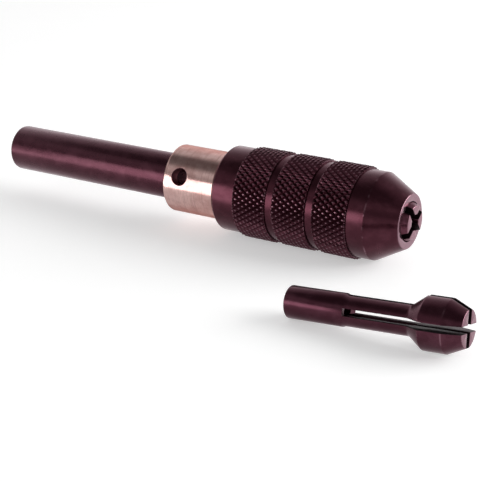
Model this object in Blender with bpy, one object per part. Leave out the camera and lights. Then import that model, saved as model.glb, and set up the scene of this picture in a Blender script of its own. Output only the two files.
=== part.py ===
"""Collet pin vise with a straight shank, and one spare collet lying beside it.

The vise lies along +X with the middle of its shank's rear face at the origin and +Z up.
It is screwed shut on its fitted collet, and it rests on the knurled bands of its sleeve.
The spare collet, which has a smaller bore, lies on the same surface at the -Y side.
All sizes are in metres.
"""

import math

import bmesh
import bpy

# Fits and resolution
CLEARANCE = 0.0003
SEGMENTS = 48
HOLE_SEGMENTS = 32
ROUNDING_STEPS = 4
CUTTER_EXCESS = 0.001

# Shank: a plain round bar for a drill chuck or a tailstock
SHANK_RADIUS = 0.003175
SHANK_EXPOSED = 0.0280
SHANK_SEATED = 0.0078
SHANK_END_ROUNDING = 0.0005

# Chuck body: the bright collar, and the threaded nose that the sleeve hides
COLLAR_RADIUS = 0.00465
COLLAR_EXPOSED = 0.0082
COLLAR_COVERED = 0.0048
COLLAR_EDGE = 0.00025
TOMMY_HOLE_RADIUS = 0.001225
TOMMY_HOLE_FROM_COLLAR_END = 0.00254
TOMMY_HOLE_ANGLE = math.radians(21.6)
THREAD_RADIUS = 0.00397
THREAD_PITCH = 0.0254 / 24
THREAD_END_CHAMFER = 0.00045
THREAD_RELIEF_DEPTH = 0.00052
THREAD_RELIEF_WIDTH = 0.0014
MOUTH_RIM_WIDTH = 0.00052

# Collets: a bored spring-steel stem whose head is split into four jaws
COLLET_STEM_RADIUS = 0.001975
COLLET_STEM_LENGTH = 0.0072
COLLET_NECK_RADIUS = 0.00185
COLLET_NECK_LENGTH = 0.0084
COLLET_HEAD_RADIUS = 0.003175
COLLET_REAR_TAPER_LENGTH = 0.0018
COLLET_HEAD_LENGTH = 0.0028
COLLET_NOSE_TAPER_LENGTH = 0.0021
COLLET_FACE_RADIUS = 0.0022
COLLET_END_CHAMFER = 0.0002
COLLET_NECK_STEP = 0.0003
JAW_SLOT_ROOT = 0.0074
JAW_SLOT_SAW_RADIUS = 0.0080
JAW_SLOT_COUNT = 2

LARGE_BORE_RADIUS = 0.00105
LARGE_STEM_BORE_RADIUS = 0.00125
LARGE_BORE_DEPTH = 0.0062
LARGE_SLOT_WIDTH = 0.0010
LARGE_SLOT_ANGLE = math.radians(35.0)
SMALL_BORE_RADIUS = 0.0006
SMALL_STEM_BORE_RADIUS = 0.0009
SMALL_BORE_DEPTH = 0.0062
SMALL_SLOT_WIDTH = 0.0009
SMALL_SLOT_ANGLE = math.radians(76.0)

# Sleeve: the knurled nut that draws the collet shut
SLEEVE_SKIRT_WALL = 0.00083
SLEEVE_REAR_RING_LENGTH = 0.0037
SLEEVE_REAR_CHAMFER = 0.0005
KNURL_HEIGHT = 0.00037
KNURL_BAND_LENGTH = 0.0048
KNURL_BAND_COUNT = 3
KNURL_EDGE = 0.0002
GROOVE_WIDTH = 0.0011
SLEEVE_FRONT_RING_LENGTH = 0.0024
SLEEVE_NOSE_LENGTH = 0.0039
SLEEVE_NOSE_FACE_WIDTH = 0.00074
SLEEVE_NOSE_EDGE = 0.00012
SLEEVE_RELIEF_WIDTH = 0.0015
SLEEVE_RELIEF_DEPTH = 0.0003
SLEEVE_HEAD_ROOM = 0.0007
RELEASE_TURNS = 10
COLLET_PROUD = 0.0007

# Where the spare collet lies: the middle of its tail, seen from above, and its heading
SPARE_TAIL_X = 0.05775
SPARE_TAIL_Y = -0.02175
SPARE_HEADING = math.radians(0.7)

# Stations along the vise, worked out from the sizes above
COLLAR_REAR_X = SHANK_EXPOSED
SHANK_FRONT_X = COLLAR_REAR_X + SHANK_SEATED
TOMMY_HOLE_X = COLLAR_REAR_X + TOMMY_HOLE_FROM_COLLAR_END
SLEEVE_REAR_X = COLLAR_REAR_X + COLLAR_EXPOSED
COLLAR_FRONT_X = SLEEVE_REAR_X + COLLAR_COVERED
KNURL_START_X = SLEEVE_REAR_X + SLEEVE_REAR_RING_LENGTH
KNURL_PITCH_X = KNURL_BAND_LENGTH + GROOVE_WIDTH
KNURL_END_X = KNURL_START_X + KNURL_BAND_COUNT * KNURL_PITCH_X - GROOVE_WIDTH
NOSE_START_X = KNURL_END_X + SLEEVE_FRONT_RING_LENGTH
NOSE_FACE_X = NOSE_START_X + SLEEVE_NOSE_LENGTH
COLLET_NECK_END = COLLET_STEM_LENGTH + COLLET_NECK_LENGTH
COLLET_HEAD_START = COLLET_NECK_END + COLLET_REAR_TAPER_LENGTH
COLLET_HEAD_END = COLLET_HEAD_START + COLLET_HEAD_LENGTH
COLLET_LENGTH = COLLET_HEAD_END + COLLET_NOSE_TAPER_LENGTH
FITTED_COLLET_X = NOSE_FACE_X + COLLET_PROUD - COLLET_LENGTH

# Two tapers close the jaws: one in the body's mouth, one in the sleeve's nose
REAR_TAPER_SLOPE = (COLLET_HEAD_RADIUS - COLLET_NECK_RADIUS) / COLLET_REAR_TAPER_LENGTH
NOSE_TAPER_SLOPE = (COLLET_HEAD_RADIUS - COLLET_FACE_RADIUS) / COLLET_NOSE_TAPER_LENGTH
REAR_TAPER_OFFSET = CLEARANCE * math.hypot(1, REAR_TAPER_SLOPE)
NOSE_TAPER_OFFSET = CLEARANCE * math.hypot(1, NOSE_TAPER_SLOPE)
BODY_BORE_RADIUS = COLLET_STEM_RADIUS + CLEARANCE


def body_seat_x(radius):
    """Station at which the body's mouth taper has this radius."""
    taper_start = FITTED_COLLET_X + COLLET_NECK_END
    return taper_start + (radius - COLLET_NECK_RADIUS - REAR_TAPER_OFFSET) / REAR_TAPER_SLOPE


def sleeve_seat_x(radius):
    """Station at which the sleeve's inner nose taper has this radius."""
    face = FITTED_COLLET_X + COLLET_LENGTH
    return face - (radius - COLLET_FACE_RADIUS - NOSE_TAPER_OFFSET) / NOSE_TAPER_SLOPE


THREAD_RELIEF_RADIUS = THREAD_RADIUS - THREAD_RELIEF_DEPTH
MOUTH_RADIUS = THREAD_RADIUS - THREAD_END_CHAMFER - MOUTH_RIM_WIDTH
BODY_FRONT_X = body_seat_x(MOUTH_RADIUS)
THREAD_FRONT_X = BODY_FRONT_X - THREAD_END_CHAMFER
SLEEVE_BORE_RADIUS = THREAD_RADIUS + CLEARANCE
SLEEVE_SKIRT_RADIUS = COLLAR_RADIUS + CLEARANCE
SLEEVE_RING_RADIUS = SLEEVE_SKIRT_RADIUS + SLEEVE_SKIRT_WALL
KNURL_RADIUS = SLEEVE_RING_RADIUS + KNURL_HEIGHT
SLEEVE_CAVITY_RADIUS = COLLET_HEAD_RADIUS + CLEARANCE
SLEEVE_RELIEF_RADIUS = SLEEVE_BORE_RADIUS + SLEEVE_RELIEF_DEPTH
SLEEVE_THREAD_REAR_X = THREAD_FRONT_X - RELEASE_TURNS * THREAD_PITCH
SLEEVE_SHOULDER_X = BODY_FRONT_X + SLEEVE_HEAD_ROOM
NOSE_OPENING_RADIUS = COLLET_FACE_RADIUS + NOSE_TAPER_OFFSET + NOSE_TAPER_SLOPE * COLLET_PROUD
NOSE_RADIUS = NOSE_OPENING_RADIUS + SLEEVE_NOSE_FACE_WIDTH

# A turned piece stands on a flat of its facets, a little inside its nominal radius
FLAT_FACTOR = math.cos(math.pi / SEGMENTS)
FLOOR_Z = -KNURL_RADIUS * FLAT_FACTOR


def remove_objects():
    """Empty the scene."""
    for existing in list(bpy.data.objects):
        bpy.data.objects.remove(existing, do_unlink=True)


def steel(name, colour, roughness, metallic):
    """Principled material in the colour of one steel finish."""
    material = bpy.data.materials.new(name)
    material.use_nodes = True
    shader = material.node_tree.nodes["Principled BSDF"]
    shader.inputs["Base Color"].default_value = (*colour, 1.0)
    shader.inputs["Roughness"].default_value = roughness
    shader.inputs["Metallic"].default_value = metallic
    material.diffuse_color = (*colour, 1.0)
    return material


def rounded_corner(centre_x, centre_radius, rounding, start_angle, end_angle):
    """Points of a quarter round in a turning outline, as (x, radius)."""
    points = []
    for step in range(ROUNDING_STEPS + 1):
        angle = start_angle + (end_angle - start_angle) * step / ROUNDING_STEPS
        points.append((centre_x + rounding * math.cos(angle), centre_radius + rounding * math.sin(angle)))
    return points


def turned(name, outline, material):
    """Solid turned about the X axis from a closed outline of (x, radius) points."""
    mesh = bpy.data.meshes.new(name)
    shape = bmesh.new()
    first_angle = math.pi / SEGMENTS
    points = []
    for x, radius in outline:
        points.append(shape.verts.new((x, radius * math.cos(first_angle), radius * math.sin(first_angle))))
    edges = []
    for index, point in enumerate(points):
        following = points[(index + 1) % len(points)]
        on_axis = outline[index][1] == 0 and outline[(index + 1) % len(points)][1] == 0
        if not on_axis:
            edges.append(shape.edges.new((point, following)))
    bmesh.ops.spin(
        shape, geom=edges, cent=(0, 0, 0), axis=(1, 0, 0), angle=2 * math.pi, steps=SEGMENTS, use_merge=True
    )
    bmesh.ops.remove_doubles(shape, verts=shape.verts, dist=1e-7)
    bmesh.ops.recalc_face_normals(shape, faces=shape.faces)
    shape.to_mesh(mesh)
    shape.free()
    return placed(name, mesh, material)


def placed(name, mesh, material):
    """Object in the scene, shaded smooth with its turned edges kept crisp."""
    mesh.shade_smooth()
    mesh.set_sharp_from_angle(angle=math.radians(30))
    piece = bpy.data.objects.new(name, mesh)
    piece.data.materials.append(material)
    bpy.context.scene.collection.objects.link(piece)
    return piece


def cutter(name, mesh, parent, location, turn):
    """Cutting tool at a place on its workpiece, turned about X, and left out of the model."""
    tool = bpy.data.objects.new(name, mesh)
    bpy.context.scene.collection.objects.link(tool)
    tool.parent = parent
    tool.location = location
    tool.rotation_euler = (turn, 0, 0)
    tool.hide_render = True
    tool.display_type = "WIRE"
    return tool


def cut(piece, tool):
    """Take the tool's shape out of the piece."""
    modifier = piece.modifiers.new(tool.name, "BOOLEAN")
    modifier.operation = "DIFFERENCE"
    modifier.solver = "EXACT"
    modifier.object = tool


def tommy_drill_mesh():
    """Round drill that stands along Z and is longer than the collar is wide."""
    mesh = bpy.data.meshes.new("tommy_drill")
    shape = bmesh.new()
    bmesh.ops.create_cone(
        shape, cap_ends=True, segments=HOLE_SEGMENTS, radius1=TOMMY_HOLE_RADIUS, radius2=TOMMY_HOLE_RADIUS,
        depth=2 * (COLLAR_RADIUS + CUTTER_EXCESS),
    )
    shape.to_mesh(mesh)
    shape.free()
    return mesh


def jaw_saw_mesh(slot_width):
    """Saw cut from ahead of the jaws back to the curved root that a round saw leaves."""
    mesh = bpy.data.meshes.new("jaw_saw")
    shape = bmesh.new()
    half_height = COLLET_HEAD_RADIUS + CUTTER_EXCESS
    reach = math.asin(half_height / JAW_SLOT_SAW_RADIUS)
    steps = 2 * ROUNDING_STEPS
    outline = []
    for step in range(steps + 1):
        angle = reach - 2 * reach * step / steps
        sag = JAW_SLOT_SAW_RADIUS * (1 - math.cos(angle))
        outline.append((JAW_SLOT_ROOT + sag, JAW_SLOT_SAW_RADIUS * math.sin(angle)))
    front = COLLET_LENGTH + CUTTER_EXCESS
    outline.append((front, -half_height))
    outline.append((front, half_height))
    side = shape.faces.new([shape.verts.new((x, -slot_width / 2, z)) for x, z in outline])
    extruded = bmesh.ops.extrude_face_region(shape, geom=[side])
    moved = [item for item in extruded["geom"] if isinstance(item, bmesh.types.BMVert)]
    bmesh.ops.translate(shape, verts=moved, vec=(0, slot_width, 0))
    bmesh.ops.recalc_face_normals(shape, faces=shape.faces)
    shape.to_mesh(mesh)
    shape.free()
    return mesh


def make_shank(material):
    """Plain bar with a rounded rear end, cross-drilled where the collar holds it."""
    quarter = math.pi / 2
    outline = [(0.0, 0.0)]
    outline += rounded_corner(
        SHANK_END_ROUNDING, SHANK_RADIUS - SHANK_END_ROUNDING, SHANK_END_ROUNDING, 2 * quarter, quarter
    )
    outline.append((SHANK_FRONT_X - COLLAR_EDGE, SHANK_RADIUS))
    outline.append((SHANK_FRONT_X, SHANK_RADIUS - COLLAR_EDGE))
    outline.append((SHANK_FRONT_X, 0.0))
    return turned("shank", outline, material)


def make_chuck_body(material):
    """Collar and threaded nose in one turned piece, bored for the shank and the collets."""
    shank_bore = SHANK_RADIUS + CLEARANCE
    shank_stop = SHANK_FRONT_X + CLEARANCE
    outline = [
        (COLLAR_REAR_X, shank_bore),
        (COLLAR_REAR_X, COLLAR_RADIUS - COLLAR_EDGE),
        (COLLAR_REAR_X + COLLAR_EDGE, COLLAR_RADIUS),
        (COLLAR_FRONT_X - COLLAR_EDGE, COLLAR_RADIUS),
        (COLLAR_FRONT_X, COLLAR_RADIUS - COLLAR_EDGE),
        (COLLAR_FRONT_X, THREAD_RELIEF_RADIUS),
        (COLLAR_FRONT_X + THREAD_RELIEF_WIDTH, THREAD_RELIEF_RADIUS),
        (COLLAR_FRONT_X + THREAD_RELIEF_WIDTH + THREAD_RADIUS - THREAD_RELIEF_RADIUS, THREAD_RADIUS),
        (THREAD_FRONT_X, THREAD_RADIUS),
        (BODY_FRONT_X, THREAD_RADIUS - THREAD_END_CHAMFER),
        (BODY_FRONT_X, MOUTH_RADIUS),
        (body_seat_x(BODY_BORE_RADIUS), BODY_BORE_RADIUS),
        (shank_stop, BODY_BORE_RADIUS),
        (shank_stop, shank_bore),
    ]
    return turned("chuck_body", outline, material)


def drill_tommy_hole(pieces):
    """Cross hole through the collar and the shank, for the bar that holds the vise still."""
    mesh = tommy_drill_mesh()
    upright_to_hole = math.pi / 2 - TOMMY_HOLE_ANGLE
    for piece in pieces:
        tool = cutter(piece.name + "_tommy_drill", mesh, piece, (TOMMY_HOLE_X, 0, 0), upright_to_hole)
        cut(piece, tool)


def sleeve_outside():
    """Outer outline of the sleeve from its rear face to its nose, as (x, radius)."""
    points = [
        (SLEEVE_REAR_X, SLEEVE_RING_RADIUS - SLEEVE_REAR_CHAMFER),
        (SLEEVE_REAR_X + SLEEVE_REAR_CHAMFER, SLEEVE_RING_RADIUS),
        (KNURL_START_X, SLEEVE_RING_RADIUS),
    ]
    for band in range(KNURL_BAND_COUNT):
        start = KNURL_START_X + band * KNURL_PITCH_X
        end = start + KNURL_BAND_LENGTH
        if band > 0:
            points.append((start, SLEEVE_RING_RADIUS))
        points.append((start, KNURL_RADIUS - KNURL_EDGE))
        points.append((start + KNURL_EDGE, KNURL_RADIUS))
        points.append((end - KNURL_EDGE, KNURL_RADIUS))
        points.append((end, KNURL_RADIUS - KNURL_EDGE))
        points.append((end, SLEEVE_RING_RADIUS))
    points.append((NOSE_START_X, SLEEVE_RING_RADIUS))
    nose_slope = (SLEEVE_RING_RADIUS - NOSE_RADIUS) / SLEEVE_NOSE_LENGTH
    points.append((NOSE_FACE_X - SLEEVE_NOSE_EDGE, NOSE_RADIUS + nose_slope * SLEEVE_NOSE_EDGE))
    points.append((NOSE_FACE_X, NOSE_RADIUS - SLEEVE_NOSE_EDGE))
    return points


def sleeve_inside():
    """Bores of the sleeve from its nose opening back to its skirt, as (x, radius)."""
    skirt_step = SLEEVE_SKIRT_RADIUS - SLEEVE_BORE_RADIUS
    return [
        (NOSE_FACE_X, NOSE_OPENING_RADIUS),
        (sleeve_seat_x(SLEEVE_CAVITY_RADIUS), SLEEVE_CAVITY_RADIUS),
        (SLEEVE_SHOULDER_X, SLEEVE_CAVITY_RADIUS),
        (SLEEVE_SHOULDER_X, SLEEVE_RELIEF_RADIUS),
        (SLEEVE_SHOULDER_X - SLEEVE_RELIEF_WIDTH, SLEEVE_RELIEF_RADIUS),
        (SLEEVE_SHOULDER_X - SLEEVE_RELIEF_WIDTH - SLEEVE_RELIEF_DEPTH, SLEEVE_BORE_RADIUS),
        (SLEEVE_THREAD_REAR_X, SLEEVE_BORE_RADIUS),
        (SLEEVE_THREAD_REAR_X - skirt_step, SLEEVE_SKIRT_RADIUS),
        (SLEEVE_REAR_X, SLEEVE_SKIRT_RADIUS),
    ]


def make_sleeve(material):
    """Knurled nut with a conical nose. Its origin is on its turning axis, at its rear face."""
    outline = [(x - SLEEVE_REAR_X, radius) for x, radius in sleeve_outside() + sleeve_inside()]
    sleeve = turned("sleeve", outline, material)
    sleeve.location.x = SLEEVE_REAR_X
    return sleeve


def collet_outline(bore_radius, stem_bore_radius, bore_depth):
    """Turning outline of a collet whose tail is at x = 0 and whose jaws face +X."""
    bore_step_x = COLLET_LENGTH - bore_depth
    bore_step = abs(bore_radius - stem_bore_radius)
    return [
        (0.0, stem_bore_radius),
        (0.0, COLLET_STEM_RADIUS - COLLET_END_CHAMFER),
        (COLLET_END_CHAMFER, COLLET_STEM_RADIUS),
        (COLLET_STEM_LENGTH, COLLET_STEM_RADIUS),
        (COLLET_STEM_LENGTH + COLLET_NECK_STEP, COLLET_NECK_RADIUS),
        (COLLET_NECK_END, COLLET_NECK_RADIUS),
        (COLLET_HEAD_START, COLLET_HEAD_RADIUS),
        (COLLET_HEAD_END, COLLET_HEAD_RADIUS),
        (COLLET_LENGTH, COLLET_FACE_RADIUS),
        (COLLET_LENGTH, bore_radius),
        (bore_step_x, bore_radius),
        (bore_step_x - bore_step, stem_bore_radius),
    ]


def make_collet(name, bore_radius, stem_bore_radius, bore_depth, slot_width, slot_angle, material):
    """Collet split into four jaws by two crossing saw cuts. Its origin is at its tail."""
    collet = turned(name, collet_outline(bore_radius, stem_bore_radius, bore_depth), material)
    mesh = jaw_saw_mesh(slot_width)
    for index in range(JAW_SLOT_COUNT):
        turn = slot_angle + index * math.pi / JAW_SLOT_COUNT
        cut(collet, cutter(f"{name}_saw_{index + 1}", mesh, collet, (0, 0, 0), turn))
    return collet


def lay_spare_collet(collet):
    """Lay the collet down so that its tail and the rear of its head touch the surface."""
    touching_length = COLLET_HEAD_START - COLLET_END_CHAMFER
    rise = math.atan2((COLLET_HEAD_RADIUS - COLLET_STEM_RADIUS) * FLAT_FACTOR, touching_length)
    tail_height = COLLET_STEM_RADIUS * FLAT_FACTOR * math.cos(rise) - COLLET_END_CHAMFER * math.sin(rise)
    rest = bpy.data.objects.new("spare_collet_rest", None)
    bpy.context.scene.collection.objects.link(rest)
    rest.location = (SPARE_TAIL_X, SPARE_TAIL_Y, FLOOR_Z + tail_height)
    rest.rotation_euler = (0, -rise, SPARE_HEADING)
    collet.parent = rest


def main():
    remove_objects()
    black_oxide = steel("black_oxide_steel", (0.035, 0.018, 0.023), 0.35, 0.6)
    bright_steel = steel("bright_turned_steel", (0.62, 0.52, 0.49), 0.25, 1.0)
    knurled_oxide = steel("black_oxide_knurled_steel", (0.03, 0.012, 0.017), 0.45, 0.6)
    fitted_oxide = steel("black_oxide_fitted_collet", (0.045, 0.025, 0.03), 0.35, 0.6)
    spare_oxide = steel("black_oxide_spare_collet", (0.035, 0.014, 0.019), 0.38, 0.6)

    shank = make_shank(black_oxide)
    chuck_body = make_chuck_body(bright_steel)
    drill_tommy_hole([shank, chuck_body])
    make_sleeve(knurled_oxide)
    fitted = make_collet(
        "fitted_collet", LARGE_BORE_RADIUS, LARGE_STEM_BORE_RADIUS, LARGE_BORE_DEPTH,
        LARGE_SLOT_WIDTH, LARGE_SLOT_ANGLE, fitted_oxide,
    )
    fitted.location.x = FITTED_COLLET_X
    spare = make_collet(
        "spare_collet", SMALL_BORE_RADIUS, SMALL_STEM_BORE_RADIUS, SMALL_BORE_DEPTH,
        SMALL_SLOT_WIDTH, SMALL_SLOT_ANGLE, spare_oxide,
    )
    lay_spare_collet(spare)


main()
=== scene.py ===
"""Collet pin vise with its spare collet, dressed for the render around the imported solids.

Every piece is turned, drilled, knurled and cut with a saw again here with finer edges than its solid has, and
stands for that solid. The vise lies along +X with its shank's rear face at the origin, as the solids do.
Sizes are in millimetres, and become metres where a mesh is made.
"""

import math

import bmesh
import bpy
import numpy as np
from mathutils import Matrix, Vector


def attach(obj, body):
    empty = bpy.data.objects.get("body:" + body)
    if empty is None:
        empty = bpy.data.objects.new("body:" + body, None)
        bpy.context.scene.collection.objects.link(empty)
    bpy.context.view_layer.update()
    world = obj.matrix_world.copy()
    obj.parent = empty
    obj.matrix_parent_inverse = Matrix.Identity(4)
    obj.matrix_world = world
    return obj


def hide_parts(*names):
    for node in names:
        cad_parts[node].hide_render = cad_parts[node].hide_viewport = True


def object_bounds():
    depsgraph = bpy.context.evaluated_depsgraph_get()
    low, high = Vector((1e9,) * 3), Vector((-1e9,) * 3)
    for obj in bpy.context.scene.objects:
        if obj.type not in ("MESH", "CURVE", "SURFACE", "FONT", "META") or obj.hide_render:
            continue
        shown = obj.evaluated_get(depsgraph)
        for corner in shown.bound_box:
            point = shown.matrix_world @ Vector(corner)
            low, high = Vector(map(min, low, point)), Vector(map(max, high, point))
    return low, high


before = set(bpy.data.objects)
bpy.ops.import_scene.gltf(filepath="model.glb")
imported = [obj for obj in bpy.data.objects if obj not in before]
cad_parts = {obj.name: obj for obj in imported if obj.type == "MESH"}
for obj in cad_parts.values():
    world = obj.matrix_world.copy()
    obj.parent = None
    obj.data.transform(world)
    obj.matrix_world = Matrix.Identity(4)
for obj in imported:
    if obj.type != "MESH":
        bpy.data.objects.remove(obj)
cad_low, cad_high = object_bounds()

MM = 0.001
ROUND_SIDES = 128
KNURL_SIDES = 384
ARC_STEPS = 3
SMOOTH_ANGLE = math.radians(28)

# Shank and chuck body
SHANK_RADIUS = 3.175
SHANK_FRONT = 35.8
COLLAR_RADIUS = 4.65
COLLAR_REAR = 28.0
COLLAR_FRONT = 41.0
PRESS_BORE_RADIUS = 3.2
PRESS_BORE_FRONT = 36.1
TOMMY_HOLE_X = 30.54
TOMMY_HOLE_RADIUS = 1.225
TOMMY_HOLE_ANGLE = math.radians(21.6)
THREAD_RADIUS = 3.97
THREAD_RELIEF_RADIUS = 3.45
THREAD_RELIEF_WIDTH = 1.4
THREAD_END_CHAMFER = 0.45
BODY_BORE_RADIUS = 2.275
BODY_FRONT = 57.856
MOUTH_RADIUS = 3.0
MOUTH_DEPTH = 1.0
THREAD_PITCH = 25.4 / 24
THREAD_DEPTH = 0.5
THREAD_ROOT_SHARE = 0.2
THREAD_FLANK_SHARE = 0.65
THREAD_ROWS = 224

# Sleeve
SLEEVE_REAR = 36.2
SLEEVE_REAR_CHAMFER = 0.5
RING_RADIUS = 5.78
SKIRT_RADIUS = 4.95
SLEEVE_BORE_RADIUS = 4.27
SKIRT_END = 46.143
SLEEVE_THREAD_REAR = 46.823
SLEEVE_THREAD_FRONT = 56.756
SLEEVE_RELIEF_REAR = 57.056
SLEEVE_RELIEF_DEPTH = 0.3
SLEEVE_SHOULDER = 58.556
CAVITY_RADIUS = 3.475
NOSE_START = 58.9
NOSE_FACE = 62.8
NOSE_RADIUS = 3.596
NOSE_OPENING_RADIUS = 2.58
NOSE_TAPER_REAR = 60.86

# Diamond knurl: 48 teeth round the sleeve, with eight rows of points to a diamond
CREST_RADIUS = 6.136
TOOTH_DEPTH = 0.25
TEETH_ROUND = 48
ROWS_PER_DIAMOND = 8
CREST_SHARE = 3 / 8
BAND_STARTS = (39.9, 45.8, 51.7)
BAND_LENGTH = 4.8
BAND_ROWS = 34
BAND_PHASES = (0.0, 0.25, 0.5)
BAND_EDGE_RADIUS = 5.99

# Collets, measured from the tail
STEM_RADIUS = 1.975
STEM_LENGTH = 7.2
NECK_RADIUS = 1.85
NECK_END = 15.6
HEAD_START = 17.4
HEAD_RADIUS = 3.168
HEAD_END = 20.2
FACE_RADIUS = 2.2
COLLET_LENGTH = 22.3
SLOT_ROOT = 7.4
SAW_RADIUS = 8.0
COLLET_BORE_DEPTH = 6.2
FITTED_BORE_RADIUS = 1.05
FITTED_STEM_BORE_RADIUS = 1.25
FITTED_SLOT_ANGLE = math.radians(35.0)
FITTED_SLOT_WIDTH = 1.0
FITTED_TAIL_X = 41.2
SPARE_BORE_RADIUS = 0.6
SPARE_STEM_BORE_RADIUS = 0.9
SPARE_SLOT_ANGLE = math.radians(76.0)
SPARE_SLOT_WIDTH = 0.9
SPARE_TAIL = (57.75, -21.75)
SPARE_HEADING = math.radians(0.7)
SPARE_TAIL_CHAMFER = 0.2

# Values past every piece, for a finish without the wear and painted highlight on the face or on the crests
NO_FACE = 90.0
NO_CRESTS = (9.0, 10.0)

# Camera, as fitted to the outlines
CAMERA_AZIMUTH = math.radians(31.3)
CAMERA_ELEVATION = math.radians(20.67)
CAMERA_DISTANCE = 180.4
CAMERA_TARGET = (45.0, -12.0, -2.24)
CAMERA_LENS = 106.34

# Table and room. The room's levels are (height of the direction, brightness), in front and behind
FLOOR_Z = cad_low.z
FLOOR_GLOW = 0.42
ROOM_LEVEL = 1.3
ROOM_FRONT = ((0.0, 0.77), (0.12, 0.56), (0.3, 0.25), (0.6, 0.48), (0.8, 0.12))
ROOM_BACK = ((0.0, 0.9), (0.2, 1.0), (0.45, 0.85), (0.75, 0.5), (1.0, 0.16))

# The spare collet lies on its tail's edge and on its head
SPARE_RISE = math.atan2(HEAD_RADIUS - STEM_RADIUS, HEAD_START - SPARE_TAIL_CHAMFER)
SPARE_TAIL_HEIGHT = STEM_RADIUS * math.cos(SPARE_RISE) - SPARE_TAIL_CHAMFER * math.sin(SPARE_RISE)
SPARE_PLACE = (SPARE_TAIL[0] * MM, SPARE_TAIL[1] * MM, FLOOR_Z + SPARE_TAIL_HEIGHT * MM)
SPARE_TURN = (0.0, -SPARE_RISE, SPARE_HEADING)


def clear_selection():
    """Nothing selected and nothing in edit mode, so that an operator meets only what it should."""
    if bpy.context.object and bpy.context.object.mode != "OBJECT":
        bpy.ops.object.mode_set(mode="OBJECT")
    bpy.ops.object.select_all(action="DESELECT")


def take_up(piece):
    """Make one piece the selected and active one."""
    clear_selection()
    piece.select_set(True)
    bpy.context.view_layer.objects.active = piece


def eased(corners):
    """Turning outline of (x, radius) points, with each corner's rounding worked to a small arc."""
    points = []
    for index, (x, radius, rounding) in enumerate(corners):
        here = Vector((x, radius))
        if rounding == 0:
            points.append(here)
            continue
        before = (Vector(corners[index - 1][:2]) - here).normalized()
        after = (Vector(corners[(index + 1) % len(corners)][:2]) - here).normalized()
        half = before.angle(after) / 2
        centre = here + (before + after).normalized() * rounding / math.sin(half)
        first = here + before * rounding / math.tan(half) - centre
        last = here + after * rounding / math.tan(half) - centre
        turn = math.pi - 2 * half
        for step in range(ARC_STEPS + 1):
            share = step / ARC_STEPS
            reach = first * math.sin((1 - share) * turn) + last * math.sin(share * turn)
            points.append(centre + reach / math.sin(turn))
    return points


def rows_between(start, end, step):
    """Plain rows of points along a straight part, so that holes and slots meet only small faces."""
    count = round((end[0] - start[0]) / step)
    along, outward = (end[0] - start[0]) / count, (end[1] - start[1]) / count
    return [(start[0] + row * along, start[1] + row * outward, 0) for row in range(1, count)]


def turned(name, outline, sides):
    """Piece turned about X: its outline is drawn point by point and spun."""
    clear_selection()
    start = outline[0] * MM
    bpy.ops.mesh.primitive_plane_add(size=MM, location=(start.x, 0, start.y))
    piece = bpy.context.object
    piece.name = name
    piece.data.name = name
    bpy.ops.object.transform_apply(location=True, rotation=True, scale=True)
    bpy.ops.object.mode_set(mode="EDIT")
    bpy.ops.mesh.select_mode(type="VERT")
    bpy.ops.mesh.select_all(action="SELECT")
    bpy.ops.mesh.merge(type="CENTER")
    for here, following in zip(outline, outline[1:]):
        step = (following - here) * MM
        bpy.ops.mesh.extrude_region_move(TRANSFORM_OT_translate={"value": (step.x, 0, step.y)})
    bpy.ops.mesh.select_all(action="SELECT")
    bpy.ops.mesh.spin(steps=sides, angle=2 * math.pi, center=(0, 0, 0), axis=(1, 0, 0))
    bpy.ops.mesh.select_all(action="SELECT")
    bpy.ops.mesh.remove_doubles(threshold=1e-7)
    bpy.ops.mesh.normals_make_consistent(inside=False)
    bpy.ops.object.mode_set(mode="OBJECT")
    return piece


def cut_away(piece, tool):
    """Take the tool's shape out of the piece, and put the tool away."""
    take_up(piece)
    bpy.ops.object.modifier_add(type="BOOLEAN")
    modifier = piece.modifiers[-1]
    modifier.operation = "DIFFERENCE"
    modifier.solver = "EXACT"
    modifier.object = tool
    bpy.ops.object.modifier_apply(modifier=modifier.name)
    bpy.data.objects.remove(tool, do_unlink=True)


def break_edges(piece, width, angle):
    """Small bevel on every edge sharper than the angle, as a file or a brush leaves it."""
    take_up(piece)
    bpy.ops.object.modifier_add(type="BEVEL")
    modifier = piece.modifiers[-1]
    modifier.width = width * MM
    modifier.segments = 2
    modifier.limit_method = "ANGLE"
    modifier.angle_limit = angle
    bpy.ops.object.modifier_apply(modifier=modifier.name)


def hand_over(piece, body, node, material):
    """Shade the piece, give it its finish, and let it stand for its solid on its body."""
    take_up(piece)
    bpy.ops.object.transform_apply(location=True, rotation=True, scale=True)
    bpy.ops.object.shade_smooth_by_angle(angle=SMOOTH_ANGLE)
    piece.data.materials.clear()
    piece.data.materials.append(material)
    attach(piece, body)
    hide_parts(node)


def drill_tommy_hole(piece):
    """Cross hole for the bar that holds the vise still, through the collar and the shank."""
    clear_selection()
    bpy.ops.mesh.primitive_cylinder_add(
        vertices=64, radius=TOMMY_HOLE_RADIUS * MM, depth=2 * (COLLAR_RADIUS + 1) * MM,
        location=(TOMMY_HOLE_X * MM, 0, 0), rotation=(math.pi / 2 - TOMMY_HOLE_ANGLE, 0, 0),
    )
    cut_away(piece, bpy.context.object)


def make_shank():
    """Ground bar with a rounded rear end."""
    outline = eased([
        (0.0, 0.0, 0),
        (0.0, SHANK_RADIUS, 0.5),
        (SHANK_FRONT, SHANK_RADIUS, 0.25),
        (SHANK_FRONT, 0.0, 0),
    ])
    piece = turned("shank_bar", outline, ROUND_SIDES)
    drill_tommy_hole(piece)
    return piece


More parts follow.
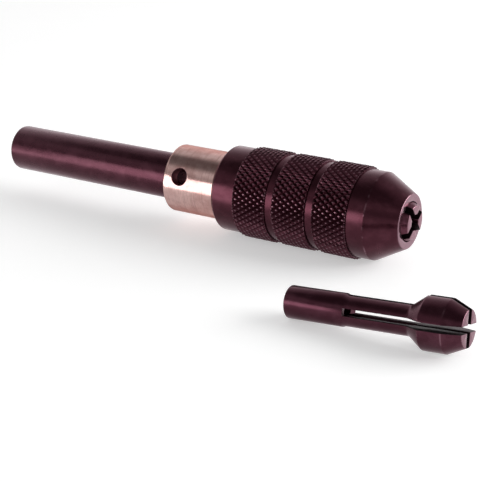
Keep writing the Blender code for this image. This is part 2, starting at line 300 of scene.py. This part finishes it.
def thread_rows():
    """Rows of points along the thread, up its run-in ramp and down its end chamfer."""
    start = COLLAR_FRONT + THREAD_RELIEF_WIDTH
    rows = []
    for row in range(THREAD_ROWS + 1):
        x = start + (BODY_FRONT - start) * row / THREAD_ROWS
        run_out = THREAD_RADIUS - THREAD_END_CHAMFER + BODY_FRONT - x
        radius = min(THREAD_RELIEF_RADIUS + x - start, THREAD_RADIUS, run_out)
        rows.append((x, radius, 0))
    return rows


def cut_thread(piece):
    """Chase the right-hand screw thread into the front of the body, 24 threads to the inch."""
    mesh = piece.data
    points = np.zeros(len(mesh.vertices) * 3)
    mesh.vertices.foreach_get("co", points)
    points = points.reshape(-1, 3) / MM
    radius = np.hypot(points[:, 1], points[:, 2])
    turns = np.arctan2(points[:, 2], points[:, 1]) / (2 * math.pi)
    flank = 2 * np.abs((points[:, 0] / THREAD_PITCH - turns + 0.5) % 1.0 - 0.5)
    profile = np.clip((flank - THREAD_ROOT_SHARE) / THREAD_FLANK_SHARE, 0.0, 1.0)
    threaded = np.minimum(radius, THREAD_RADIUS - THREAD_DEPTH * (1.0 - profile))
    on_thread = (points[:, 0] > COLLAR_FRONT + 1.0) & (radius > THREAD_RELIEF_RADIUS)
    scale = np.where(on_thread, threaded / np.maximum(radius, 1e-6), 1.0)
    points[:, 1:] *= scale[:, None]
    mesh.vertices.foreach_set("co", (points * MM).ravel())


def make_chuck_body():
    """Collar with its cross hole, thread relief, threaded nose, bore and mouth taper."""
    outline = eased([
        (COLLAR_REAR, PRESS_BORE_RADIUS, 0.1),
        (COLLAR_REAR, COLLAR_RADIUS, 0.22),
        *rows_between((COLLAR_REAR, COLLAR_RADIUS), (COLLAR_FRONT, COLLAR_RADIUS), 0.45),
        (COLLAR_FRONT, COLLAR_RADIUS, 0.2),
        (COLLAR_FRONT, THREAD_RELIEF_RADIUS, 0.15),
        *thread_rows(),
        (BODY_FRONT, MOUTH_RADIUS, 0),
        (BODY_FRONT - MOUTH_DEPTH, BODY_BORE_RADIUS, 0),
        (PRESS_BORE_FRONT, BODY_BORE_RADIUS, 0),
        (PRESS_BORE_FRONT, PRESS_BORE_RADIUS, 0),
    ])
    piece = turned("chuck_body_turned", outline + outline[:1], ROUND_SIDES)
    cut_thread(piece)
    drill_tommy_hole(piece)
    break_edges(piece, 0.08, math.radians(62))
    return piece


def band_rows():
    """Rows of points along each knurled band, between the plain rings and grooves."""
    rows = []
    for start in BAND_STARTS:
        rows.append((start, RING_RADIUS, 0))
        for row in range(BAND_ROWS + 1):
            rows.append((start + BAND_LENGTH * row / BAND_ROWS, CREST_RADIUS, 0))
        rows.append((start + BAND_LENGTH, RING_RADIUS, 0))
    return rows


def make_sleeve():
    """Nut with three knurled bands, two grooves and a conical nose, bored from both ends."""
    corners = [
        (SLEEVE_REAR, SKIRT_RADIUS, 0.08),
        (SLEEVE_REAR, RING_RADIUS - SLEEVE_REAR_CHAMFER, 0.1),
        (SLEEVE_REAR + SLEEVE_REAR_CHAMFER, RING_RADIUS, 0.15),
    ]
    corners += band_rows()
    corners += [
        (NOSE_START, RING_RADIUS, 0.2),
        (NOSE_FACE, NOSE_RADIUS, 0.14),
        (NOSE_FACE, NOSE_OPENING_RADIUS, 0.08),
        (NOSE_TAPER_REAR, CAVITY_RADIUS, 0),
        (SLEEVE_SHOULDER, CAVITY_RADIUS, 0),
        (SLEEVE_SHOULDER, SLEEVE_BORE_RADIUS + SLEEVE_RELIEF_DEPTH, 0),
        (SLEEVE_RELIEF_REAR, SLEEVE_BORE_RADIUS + SLEEVE_RELIEF_DEPTH, 0),
        (SLEEVE_THREAD_FRONT, SLEEVE_BORE_RADIUS, 0),
        (SLEEVE_THREAD_REAR, SLEEVE_BORE_RADIUS, 0),
        (SKIRT_END, SKIRT_RADIUS, 0),
    ]
    outline = eased(corners)
    piece = turned("knurled_sleeve", outline + outline[:1], KNURL_SIDES)
    roll_knurl(piece)
    return piece


def ramp_from_groove(cycles):
    """Distance to the nearest groove of one family, as a share of the spacing."""
    return np.abs(cycles - np.round(cycles))


def roll_knurl(piece):
    """Press the crossed grooves into the bands, and fold every face along its nearer groove."""
    mesh = piece.data
    points = np.zeros(len(mesh.vertices) * 3)
    mesh.vertices.foreach_get("co", points)
    points = points.reshape(-1, 3) / MM
    radius = np.hypot(points[:, 1], points[:, 2])
    around = np.arctan2(points[:, 2], points[:, 1]) / (2 * math.pi) * TEETH_ROUND
    along_step = ROWS_PER_DIAMOND * BAND_LENGTH / BAND_ROWS
    along = np.zeros(len(points))
    on_band = np.zeros(len(points), bool)
    for start, phase in zip(BAND_STARTS, BAND_PHASES):
        inside = (points[:, 0] > start - 0.001) & (points[:, 0] < start + BAND_LENGTH + 0.001)
        inside &= radius > CREST_RADIUS - 0.05
        along[inside] = (points[inside, 0] - start) / along_step + phase
        on_band |= inside
    right_hand = ramp_from_groove(around + along)
    left_hand = ramp_from_groove(around - along)
    height = np.minimum(np.minimum(right_hand, left_hand) / CREST_SHARE, 1.0)
    knurled = CREST_RADIUS - TOOTH_DEPTH * (1.0 - height)
    at_edge = np.zeros(len(points), bool)
    for start in BAND_STARTS:
        at_edge |= np.abs(points[:, 0] - start) < 0.001
        at_edge |= np.abs(points[:, 0] - start - BAND_LENGTH) < 0.001
    knurled = np.where(at_edge, np.minimum(knurled, BAND_EDGE_RADIUS), knurled)
    scale = np.where(on_band, knurled / np.maximum(radius, 1e-6), 1.0)
    points[:, 1:] *= scale[:, None]
    mesh.vertices.foreach_set("co", (points * MM).ravel())
    shape = bmesh.new()
    shape.from_mesh(mesh)
    shape.verts.ensure_lookup_table()
    for face in list(shape.faces):
        corners = [vert.index for vert in face.verts]
        if len(corners) != 4 or not on_band[corners].all():
            continue
        middle_around = np.angle(np.exp(1j * around[corners] * 2 * math.pi / TEETH_ROUND).mean())
        middle_around *= TEETH_ROUND / (2 * math.pi)
        middle_along = along[corners].mean()
        along_right = ramp_from_groove(middle_around + middle_along) < ramp_from_groove(middle_around - middle_along)
        first = face.verts[0]
        second = face.verts[2]
        d_around = around[second.index] - around[first.index]
        d_around -= TEETH_ROUND * round(d_around / TEETH_ROUND)
        d_along = along[second.index] - along[first.index]
        follows_right = d_around * d_along < 0
        if follows_right == bool(along_right):
            bmesh.utils.face_split(face, face.verts[0], face.verts[2])
        else:
            bmesh.utils.face_split(face, face.verts[1], face.verts[3])
    shape.to_mesh(mesh)
    shape.free()


def make_collet(name, bore_radius, stem_bore_radius, slot_width, slot_angle):
    """Collet turned, bored and split by two crossing saw cuts, with its tail at the origin."""
    bore_step = COLLET_LENGTH - COLLET_BORE_DEPTH
    outline = eased([
        (0.0, stem_bore_radius, 0.08),
        (0.0, STEM_RADIUS, 0.2),
        (STEM_LENGTH, STEM_RADIUS, 0),
        (STEM_LENGTH + 0.3, NECK_RADIUS, 0),
        *rows_between((STEM_LENGTH + 0.3, NECK_RADIUS), (NECK_END, NECK_RADIUS), 0.6),
        (NECK_END, NECK_RADIUS, 0.6),
        *rows_between((NECK_END, NECK_RADIUS), (HEAD_START, HEAD_RADIUS), 0.6),
        (HEAD_START, HEAD_RADIUS, 0.25),
        *rows_between((HEAD_START, HEAD_RADIUS), (HEAD_END, HEAD_RADIUS), 0.55),
        (HEAD_END, HEAD_RADIUS, 0.12),
        *rows_between((HEAD_END, HEAD_RADIUS), (COLLET_LENGTH, FACE_RADIUS), 0.5),
        (COLLET_LENGTH, FACE_RADIUS, 0.08),
        (COLLET_LENGTH, bore_radius, 0.06),
        (bore_step, bore_radius, 0),
        (bore_step - abs(bore_radius - stem_bore_radius), stem_bore_radius, 0),
    ])
    piece = turned(name, outline + outline[:1], ROUND_SIDES)
    for turn in (slot_angle, slot_angle + math.pi / 2):
        clear_selection()
        bpy.ops.mesh.primitive_cylinder_add(
            vertices=180, radius=SAW_RADIUS * MM, depth=slot_width * MM,
            location=((SLOT_ROOT + SAW_RADIUS) * MM, 0, 0), rotation=(math.pi / 2 + turn, 0, 0),
        )
        cut_away(piece, bpy.context.object)
    break_edges(piece, 0.05, math.radians(50))
    return piece


def linear(code):
    """Linear colour of an sRGB hex code."""
    shares = [int(code[place:place + 2], 16) / 255 for place in (1, 3, 5)]
    made = [share / 12.92 if share <= 0.04045 else ((share + 0.055) / 1.055) ** 2.4 for share in shares]
    return (*made, 1.0)


def fill_sockets(tree, node, sockets):
    """Set each socket to its value, or join it to a socket or to a node's first live output."""
    for socket, value in sockets.items():
        if isinstance(value, bpy.types.Node):
            value = next(output for output in value.outputs if output.enabled)
        if isinstance(value, bpy.types.NodeSocket):
            tree.links.new(value, node.inputs[socket])
        else:
            node.inputs[socket].default_value = value


def add_node(tree, kind, settings, sockets):
    """One node with its settings and its sockets."""
    node = tree.nodes.new(kind)
    for name, value in settings.items():
        setattr(node, name, value)
    fill_sockets(tree, node, sockets)
    return node


def new_material(name):
    """Material with only a Principled shader and its output."""
    material = bpy.data.materials.new(name)
    material.use_nodes = True
    return material, material.node_tree, material.node_tree.nodes["Principled BSDF"]


def turning_coordinates(tree, place, turn):
    """Millimetres along and round a piece's own axis, and its turning profile as (x, radius, 0)."""
    where = add_node(tree, "ShaderNodeTexCoord", {}, {})
    on_axis = add_node(tree, "ShaderNodeMapping", {"vector_type": "TEXTURE"}, {
        "Vector": where.outputs["Object"], "Location": place, "Rotation": turn, "Scale": (MM, MM, MM),
    })
    across = add_node(tree, "ShaderNodeVectorMath", {"operation": "MULTIPLY"}, {0: on_axis, 1: (0.0, 1.0, 1.0)})
    radius = add_node(tree, "ShaderNodeVectorMath", {"operation": "LENGTH"}, {0: across})
    along = add_node(tree, "ShaderNodeSeparateXYZ", {}, {0: on_axis})
    profile = add_node(tree, "ShaderNodeCombineXYZ", {}, {0: along.outputs[0], 1: radius})
    return on_axis, profile


def turned_texture(tree, on_axis, mark_spacing, patch_spacing, grain_spacing):
    """Three noises of a turned surface: its feed marks along x, its patches, and its grain."""
    noises = []
    for spacing, stretch, detail in (
        (mark_spacing, 24.0, 3.0), (patch_spacing, 0.7, 4.0), (grain_spacing, 1.0, 2.0),
    ):
        stretched = add_node(tree, "ShaderNodeMapping", {}, {
            "Vector": on_axis, "Scale": (1 / spacing, 1 / (spacing * stretch), 1 / (spacing * stretch)),
        })
        noises.append(add_node(tree, "ShaderNodeTexNoise", {}, {
            "Vector": stretched, "Scale": 1.0, "Detail": detail, "Roughness": 0.6,
        }))
    return noises


def wear_and_highlight_share(tree, profile, patches, grain, rings, face_x, crests):
    """Share of rubbing wear and painted highlight: in patches along the turned edges, on the face at face_x and on the
    crests.
    """
    nearest = 10.0
    for ring in rings:
        distance = add_node(tree, "ShaderNodeVectorMath", {"operation": "DISTANCE"}, {0: profile, 1: (*ring, 0.0)})
        nearest = add_node(tree, "ShaderNodeMath", {"operation": "MINIMUM"}, {0: nearest, 1: distance})
    edge = add_node(tree, "ShaderNodeMapRange", {"interpolation_type": "SMOOTHSTEP"}, {
        "Value": nearest, "From Min": 0.14, "From Max": 0.02, "To Max": 0.6,
    })
    edge_wear_and_highlight = add_node(tree, "ShaderNodeMath", {"operation": "MULTIPLY"}, {0: edge, 1: patches})
    parts = add_node(tree, "ShaderNodeSeparateXYZ", {}, {0: profile})
    face = add_node(tree, "ShaderNodeMapRange", {}, {
        "Value": parts.outputs[0], "From Min": face_x - 0.06, "From Max": face_x, "To Max": 0.9,
    })
    crest = add_node(tree, "ShaderNodeMapRange", {"interpolation_type": "SMOOTHSTEP"}, {
        "Value": parts.outputs[1], "From Min": crests[0], "From Max": crests[1], "To Max": 0.35,
    })
    wear_and_highlight = add_node(tree, "ShaderNodeMath", {"operation": "MAXIMUM"}, {0: edge_wear_and_highlight, 1: face})
    wear_and_highlight = add_node(tree, "ShaderNodeMath", {"operation": "MAXIMUM"}, {0: wear_and_highlight, 1: crest})
    fleck = add_node(tree, "ShaderNodeMapRange", {}, {
        "Value": grain, "From Min": 0.3, "From Max": 0.6, "To Min": 0.55,
    })
    return add_node(tree, "ShaderNodeMath", {"operation": "MULTIPLY"}, {0: wear_and_highlight, 1: fleck})


def sawn_and_shaded_share(tree, on_axis, profile, slot_angle, slot_width):
    """One on the walls of two crossing slots of that width past their root, and nothing where the width is 0."""
    square = add_node(tree, "ShaderNodeMapping", {"vector_type": "TEXTURE"}, {
        "Vector": on_axis, "Rotation": (slot_angle, 0, 0),
    })
    sides = add_node(tree, "ShaderNodeVectorMath", {"operation": "ABSOLUTE"}, {0: square})
    parts = add_node(tree, "ShaderNodeSeparateXYZ", {}, {0: sides})
    middle = add_node(tree, "ShaderNodeMath", {"operation": "MINIMUM"}, {0: parts.outputs[1], 1: parts.outputs[2]})
    sawn_and_shaded = add_node(tree, "ShaderNodeMapRange", {}, {
        "Value": middle, "From Min": slot_width / 2 + 0.03, "From Max": slot_width / 2 + 0.01,
    })
    along = add_node(tree, "ShaderNodeSeparateXYZ", {}, {0: profile})
    past_root = add_node(tree, "ShaderNodeMapRange", {}, {
        "Value": along.outputs[0], "From Min": SLOT_ROOT + 0.2, "From Max": SLOT_ROOT + 0.22,
        "To Max": bool(slot_width),
    })
    return add_node(tree, "ShaderNodeMath", {"operation": "MULTIPLY"}, {0: sawn_and_shaded, 1: past_root})


def black_oxide(
    name, film, thin, wear_and_highlight_colour, roughness, rings, face_x,
    place=(0, 0, 0), turn=(0, 0, 0), crests=NO_CRESTS, slots=(0, 0),
):
    """Turned steel blackened in a hot oxide bath and oiled.

    The film is a dark red-black that mirrors like a dull metal. It is thinner and browner in patches, keeps the
    fine turning marks under it, and is painted warm grey here and there along edges, on the front face and on the
    knurl's crests, partly as rubbing wear and partly as painted highlight. The slot walls, (angle, width), are dull
    and painted nearly black as painted shade.
    """
    material, tree, shader = new_material(name)
    on_axis, profile = turning_coordinates(tree, place, turn)
    # Real feed marks are about 0.05 mm apart and crystals of the film are microns wide: both drawn at 0.13 mm
    marks, patches, grain = turned_texture(tree, on_axis, 0.13, 1.8, 0.13)
    spots = add_node(tree, "ShaderNodeMapRange", {"interpolation_type": "SMOOTHSTEP"}, {
        "Value": patches, "From Min": 0.42, "From Max": 0.66,
    })
    wear_and_highlight = wear_and_highlight_share(tree, profile, spots, grain, rings, face_x, crests)
    sawn_and_shaded = sawn_and_shaded_share(tree, on_axis, profile, *slots)
    film_colour = add_node(tree, "ShaderNodeMix", {"data_type": "RGBA"}, {0: spots, 6: linear(film), 7: linear(thin)})
    # Warm grey along edges, on the front face and on the crests: partly rubbing wear, partly painted highlight
    colour = add_node(tree, "ShaderNodeMix", {"data_type": "RGBA"}, {0: wear_and_highlight, 6: film_colour, 7: linear(wear_and_highlight_colour)})
    # Slot walls painted nearly black as painted shade, and made rougher as cut by the saw
    colour = add_node(tree, "ShaderNodeMix", {"data_type": "RGBA"}, {0: sawn_and_shaded, 6: colour, 7: linear("#190b10")})
    rough = add_node(tree, "ShaderNodeMath", {"operation": "MULTIPLY_ADD"}, {0: patches, 1: 0.16, 2: roughness - 0.08})
    rough = add_node(tree, "ShaderNodeMath", {"operation": "MULTIPLY_ADD"}, {0: wear_and_highlight, 1: -0.06, 2: rough})
    rough = add_node(tree, "ShaderNodeMath", {"operation": "MULTIPLY_ADD"}, {0: sawn_and_shaded, 1: 0.4, 2: rough})
    height = add_node(tree, "ShaderNodeMath", {"operation": "MULTIPLY_ADD"}, {0: grain, 1: 0.5, 2: marks})
    bump = add_node(tree, "ShaderNodeBump", {}, {"Strength": 0.5, "Distance": 0.006 * MM, "Height": height})
    # The coat is the thin oil that the bath leaves
    fill_sockets(tree, shader, {
        "Base Color": colour, "Metallic": 0.95, "Roughness": rough, "Specular Tint": linear("#fbeef2"), "Normal": bump,
        "Coat Weight": 0.14, "Coat Roughness": 0.2,
    })
    return material


def bright_turned_steel():
    """Free-cutting steel turned bright and left bare.

    It mirrors the room in long soft bands broken by fine turning lines, with a warm brown cast from handling.
    The cross hole is painted darker as painted shade, and the roots of the thread are darker.
    """
    material, tree, shader = new_material("bright_turned_steel")
    on_axis, profile = turning_coordinates(tree, (0, 0, 0), (0, 0, 0))
    # Feed marks of about 0.08 mm, drawn at 0.16 mm
    marks, handling, grain = turned_texture(tree, on_axis, 0.16, 3.2, 0.14)
    touched = add_node(tree, "ShaderNodeMapRange", {"interpolation_type": "SMOOTHSTEP"}, {
        "Value": handling, "From Min": 0.3, "From Max": 0.74,
    })
    streak = add_node(tree, "ShaderNodeMapRange", {}, {
        "Value": marks, "From Min": 0.5, "From Max": 0.75, "To Max": 0.35,
    })
    hole_axis = add_node(tree, "ShaderNodeMapping", {"vector_type": "TEXTURE"}, {
        "Vector": on_axis, "Location": (TOMMY_HOLE_X, 0, 0), "Rotation": (math.pi / 2 - TOMMY_HOLE_ANGLE, 0, 0),
    })
    hole_across = add_node(tree, "ShaderNodeVectorMath", {"operation": "MULTIPLY"}, {0: hole_axis, 1: (1.0, 1.0, 0.0)})
    hole_radius = add_node(tree, "ShaderNodeVectorMath", {"operation": "LENGTH"}, {0: hole_across})
    in_hole = add_node(tree, "ShaderNodeMapRange", {}, {
        "Value": hole_radius, "From Min": TOMMY_HOLE_RADIUS + 0.03, "From Max": TOMMY_HOLE_RADIUS + 0.005,
    })
    parts = add_node(tree, "ShaderNodeSeparateXYZ", {}, {0: profile})
    in_root = add_node(tree, "ShaderNodeMapRange", {"interpolation_type": "SMOOTHSTEP"}, {
        "Value": parts.outputs[1], "From Min": THREAD_RADIUS - 0.1, "From Max": THREAD_RELIEF_RADIUS, "To Max": 0.8,
    })
    hole_shade_and_dark_roots = add_node(tree, "ShaderNodeMath", {"operation": "MAXIMUM"}, {0: in_hole, 1: in_root})
    colour = add_node(tree, "ShaderNodeMix", {"data_type": "RGBA"}, {
        0: touched, 6: linear("#dbb9b4"), 7: linear("#b88f8a"),
    })
    colour = add_node(tree, "ShaderNodeMix", {"data_type": "RGBA"}, {0: streak, 6: colour, 7: linear("#7a4b41")})
    # Painted shade in the cross hole, and a darker colour in the thread roots
    colour = add_node(tree, "ShaderNodeMix", {"data_type": "RGBA"}, {0: hole_shade_and_dark_roots, 6: colour, 7: linear("#a0707a")})
    rough = add_node(tree, "ShaderNodeMath", {"operation": "MULTIPLY_ADD"}, {0: handling, 1: 0.1, 2: 0.11})
    rough = add_node(tree, "ShaderNodeMath", {"operation": "MULTIPLY_ADD"}, {0: hole_shade_and_dark_roots, 1: 0.3, 2: rough})
    height = add_node(tree, "ShaderNodeMath", {"operation": "MULTIPLY_ADD"}, {0: grain, 1: 0.25, 2: marks})
    bump = add_node(tree, "ShaderNodeBump", {}, {"Strength": 0.5, "Distance": 0.0015 * MM, "Height": height})
    fill_sockets(tree, shader, {
        "Base Color": colour, "Metallic": 1.0, "Roughness": rough, "Specular Tint": linear("#cdb2ae"), "Normal": bump,
    })
    return material


def lay_floor():
    """White table that keeps the pieces' shadows, with a faint glow that only lifts how bright it is seen."""
    clear_selection()
    bpy.ops.mesh.primitive_plane_add(size=4.0, location=(0.045, -0.01, FLOOR_Z))
    floor = bpy.context.object
    floor.name = "white_table"
    material, tree, shader = new_material("white_table_laminate")
    path = add_node(tree, "ShaderNodeLightPath", {}, {})
    seen = add_node(tree, "ShaderNodeMath", {"operation": "MAXIMUM"}, {
        0: path.outputs["Is Camera Ray"], 1: path.outputs["Is Glossy Ray"],
    })
    seen = add_node(tree, "ShaderNodeMath", {"operation": "MAXIMUM"}, {0: seen, 1: path.outputs["Is Transmission Ray"]})
    glow = add_node(tree, "ShaderNodeMath", {"operation": "MULTIPLY"}, {0: seen, 1: FLOOR_GLOW})
    fill_sockets(tree, shader, {
        "Base Color": linear("#e2e2e2"), "Roughness": 0.9, "Specular IOR Level": 0.0,
        "Emission Color": (1.0, 1.0, 1.0, 1.0), "Emission Strength": glow,
    })
    floor.data.materials.append(material)


def light_room():
    """Soft grey room, bright along the horizon and behind the object, and dark overhead in front."""
    world = bpy.data.worlds.new("soft_grey_room")
    bpy.context.scene.world = world
    world.use_nodes = True
    tree = world.node_tree
    where = add_node(tree, "ShaderNodeTexCoord", {}, {})
    direction = add_node(tree, "ShaderNodeSeparateXYZ", {}, {0: where.outputs["Generated"]})
    sides = []
    for steps in (ROOM_FRONT, ROOM_BACK):
        levels = add_node(tree, "ShaderNodeValToRGB", {}, {0: direction.outputs[2]})
        levels.color_ramp.interpolation = "EASE"
        ramp = levels.color_ramp.elements
        for _ in steps[2:]:
            ramp.new(0.5)
        for element, (place, level) in zip(ramp, steps):
            element.position = place
            element.color = (level, level, level, 1.0)
        sides.append(levels)
    behind = add_node(tree, "ShaderNodeMapRange", {"interpolation_type": "SMOOTHSTEP"}, {
        "Value": direction.outputs[1], "From Min": 0.0, "From Max": 0.3,
    })
    room = add_node(tree, "ShaderNodeMix", {"data_type": "RGBA"}, {0: behind, 6: sides[0], 7: sides[1]})
    fill_sockets(tree, tree.nodes["Background"], {"Color": room, "Strength": ROOM_LEVEL})


def add_softbox(name, location, target, width, height, radiance):
    """Rectangular soft lamp of a given brightness, turned to a target. Places are in millimetres."""
    clear_selection()
    away = Vector(location) - Vector(target)
    bpy.ops.object.light_add(
        type="AREA", location=Vector(location) * MM, rotation=away.to_track_quat("Z", "Y").to_euler()
    )
    lamp = bpy.context.object
    lamp.name = name
    lamp.data.shape = "RECTANGLE"
    lamp.data.size = width * MM
    lamp.data.size_y = height * MM
    lamp.data.energy = radiance * 4 * width * height * MM * MM
    lamp.visible_camera = False


def aim_camera():
    """Camera at the photograph's angle and distance."""
    level = math.cos(CAMERA_ELEVATION)
    back = Vector((
        math.sin(CAMERA_AZIMUTH) * level, -math.cos(CAMERA_AZIMUTH) * level, math.sin(CAMERA_ELEVATION)
    ))
    clear_selection()
    bpy.ops.object.camera_add(
        location=(Vector(CAMERA_TARGET) + back * CAMERA_DISTANCE) * MM,
        rotation=back.to_track_quat("Z", "Y").to_euler(),
    )
    camera = bpy.context.object
    camera.data.sensor_width = 36.0
    camera.data.lens = CAMERA_LENS
    camera.data.clip_start = 0.01
    camera.data.clip_end = 20.0
    bpy.context.scene.camera = camera


def main():
    bpy.context.scene.view_settings.view_transform = "Standard"
    aim_camera()
    light_room()
    lay_floor()
    add_softbox("front_softbox", (-85, -250, 18), (35, 0, 0), 260, 125, 2.1)
    # Lies in front of the shank, where the collar's lower half mirrors it
    add_softbox("low_front_panel", (-60, -113, -5), (-60, -113, 95), 186, 190, 1.7)
    add_softbox("right_softbox", (390, 205, 142), (45, -10, 0), 400, 260, 5.0)

    shank_finish = black_oxide(
        "black_oxide_ground_steel", "#46222d", "#4f2a35", "#80606a", 0.28, [(0.12, 3.05)], NO_FACE,
    )
    sleeve_rings = [
        (36.25, 5.25), (36.65, 5.72), (NOSE_START, RING_RADIUS), (NOSE_FACE, NOSE_RADIUS),
        (NOSE_FACE, NOSE_OPENING_RADIUS),
    ]
    for start in BAND_STARTS:
        sleeve_rings += [(start, BAND_EDGE_RADIUS), (start + BAND_LENGTH, BAND_EDGE_RADIUS)]
    sleeve_finish = black_oxide(
        "black_oxide_knurled_steel", "#401a25", "#4a232e", "#967580", 0.24, sleeve_rings, NOSE_FACE,
        crests=(6.08, 6.13),
    )
    collet_rings = [(0.1, 1.9), (HEAD_START, HEAD_RADIUS), (HEAD_END, HEAD_RADIUS), (COLLET_LENGTH, FACE_RADIUS)]
    fitted_finish = black_oxide(
        "black_oxide_spring_steel_fitted", "#4c2430", "#633947", "#98737e", 0.25,
        collet_rings, COLLET_LENGTH, (FITTED_TAIL_X * MM, 0, 0), slots=(FITTED_SLOT_ANGLE, FITTED_SLOT_WIDTH),
    )
    spare_finish = black_oxide(
        "black_oxide_spring_steel_spare", "#421d29", "#4c2733", "#86616c", 0.24,
        collet_rings, COLLET_LENGTH, SPARE_PLACE, SPARE_TURN, slots=(SPARE_SLOT_ANGLE, SPARE_SLOT_WIDTH),
    )
    hand_over(make_shank(), "spindle", "shank", shank_finish)
    hand_over(make_chuck_body(), "spindle", "chuck_body", bright_turned_steel())
    hand_over(make_sleeve(), "sleeve", "sleeve", sleeve_finish)
    fitted = make_collet(
        "fitted_collet_split", FITTED_BORE_RADIUS, FITTED_STEM_BORE_RADIUS, FITTED_SLOT_WIDTH, FITTED_SLOT_ANGLE
    )
    fitted.location.x = FITTED_TAIL_X * MM
    hand_over(fitted, "fitted_collet", "fitted_collet", fitted_finish)
    spare = make_collet(
        "spare_collet_split", SPARE_BORE_RADIUS, SPARE_STEM_BORE_RADIUS, SPARE_SLOT_WIDTH, SPARE_SLOT_ANGLE
    )
    spare.location = SPARE_PLACE
    spare.rotation_euler = SPARE_TURN
    hand_over(spare, "spare_collet", "spare_collet", spare_finish)


main()
